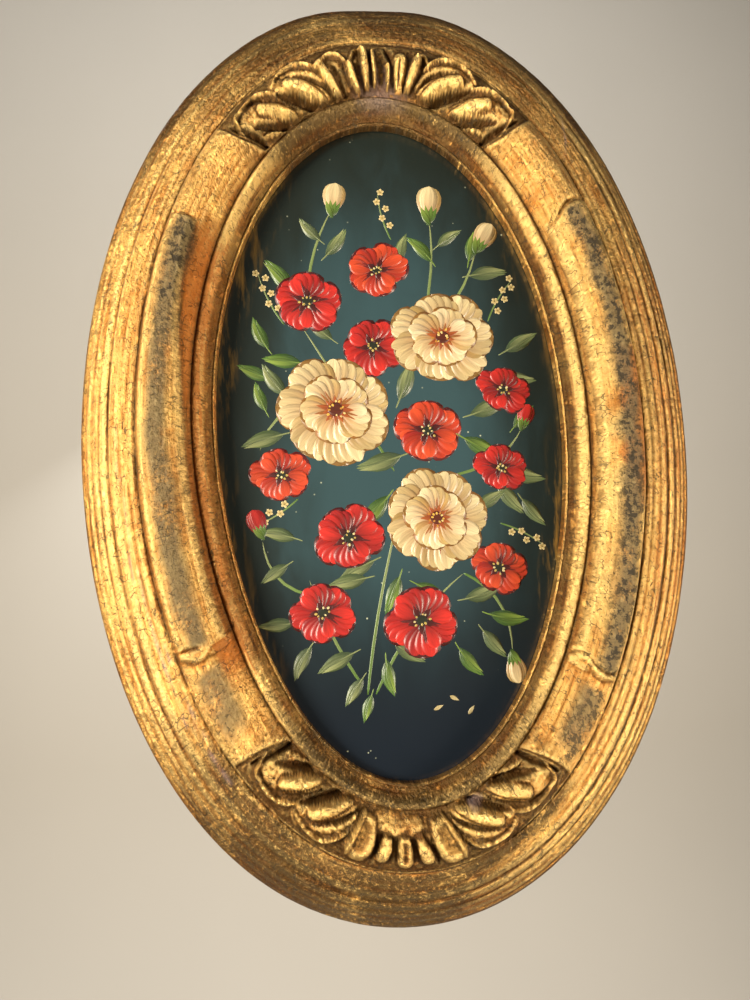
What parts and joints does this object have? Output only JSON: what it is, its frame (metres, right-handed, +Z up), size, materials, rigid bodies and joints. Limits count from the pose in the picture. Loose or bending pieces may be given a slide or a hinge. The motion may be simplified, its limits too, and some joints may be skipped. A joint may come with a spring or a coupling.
{
  "type": "framed oil painting",
  "caption": "Small oval oil painting of flowers on a dark green ground, in a carved and gilded wooden oval frame with a hanger at the back.",
  "frame": {"origin": "middle of the hanger's rear face, on the plane of the frame's flat back, at the top centre", "axes": "+Z up along the oval's long axis, -Y out of the painted face towards the viewer, +Y into the wall, +X to the viewer's right"},
  "size_m": [0.15, 0.0186, 0.2288],
  "materials": {
    "gilded_wood": "worn gold leaf over red-brown bole and gesso on carved wood, with dark toning in the hollows",
    "oil_painted_board": "oil paint on a thin board under a glossy varnish",
    "brad_steel": "dull drawn steel with a little rust",
    "hanger_brass": "tarnished brass-plated strip"
  },
  "bodies": {
    "root": {"frame": "gilded_wood", "painted_panel": "oil_painted_board", "brad_upper_right": "brad_steel", "brad_lower_right": "brad_steel", "brad_lower_left": "brad_steel", "brad_upper_left": "brad_steel", "hanger": "hanger_brass", "hanger_screw_left": "hanger_brass", "hanger_screw_right": "hanger_brass"}
  },
  "joints": []
}
